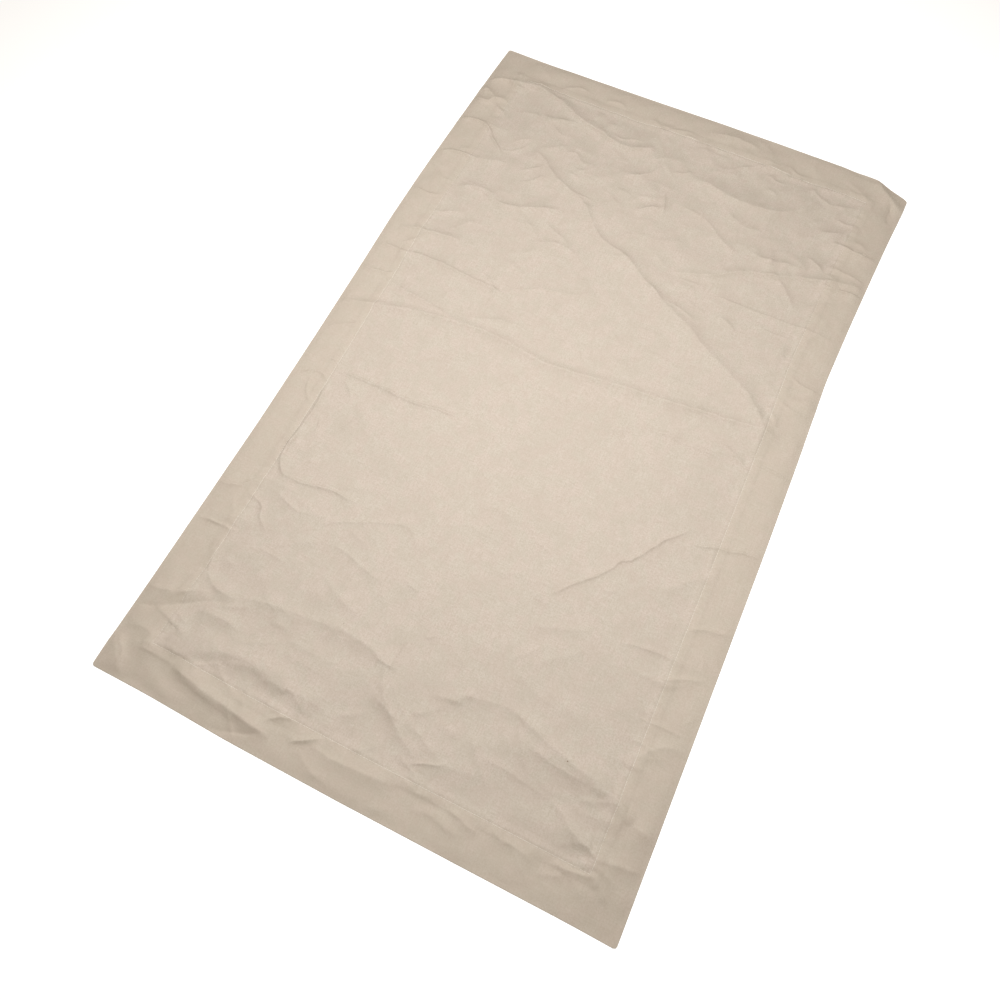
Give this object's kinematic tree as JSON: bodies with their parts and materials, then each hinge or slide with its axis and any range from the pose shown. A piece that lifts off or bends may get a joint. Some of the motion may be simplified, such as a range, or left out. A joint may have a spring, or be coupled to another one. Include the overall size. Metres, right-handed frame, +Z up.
{
  "type": "table runner",
  "caption": "Rectangular plain-weave linen cloth with a wide mitred hem and a contrast line of lockstitch, laid flat along a table as a runner.",
  "frame": {"origin": "middle of the underside, on the table top", "axes": "+Z up out of the table, +Y along the runner's length towards its far end, +X across its width"},
  "size_m": [0.5, 0.84, 0.0015],
  "materials": {
    "linen": "matte washed plain weave with slubs",
    "sewing_thread": "matte twisted sewing thread"
  },
  "bodies": {
    "root": {"face_cloth": "linen", "hem_layer_near": "linen", "hem_layer_right": "linen", "hem_layer_far": "linen", "hem_layer_left": "linen", "turn_in_near": "linen", "turn_in_right": "linen", "turn_in_far": "linen", "turn_in_left": "linen", "mitre_allowance_near_left": "linen", "mitre_allowance_near_right": "linen", "mitre_allowance_far_right": "linen", "mitre_allowance_far_left": "linen", "mitre_thread_near_left": "sewing_thread", "mitre_thread_near_right": "sewing_thread", "mitre_thread_far_right": "sewing_thread", "mitre_thread_far_left": "sewing_thread", "needle_thread_near": "sewing_thread", "needle_thread_right": "sewing_thread", "needle_thread_far": "sewing_thread", "needle_thread_left": "sewing_thread", "bobbin_thread_near": "sewing_thread", "bobbin_thread_right": "sewing_thread", "bobbin_thread_far": "sewing_thread", "bobbin_thread_left": "sewing_thread"}
  },
  "joints": []
}
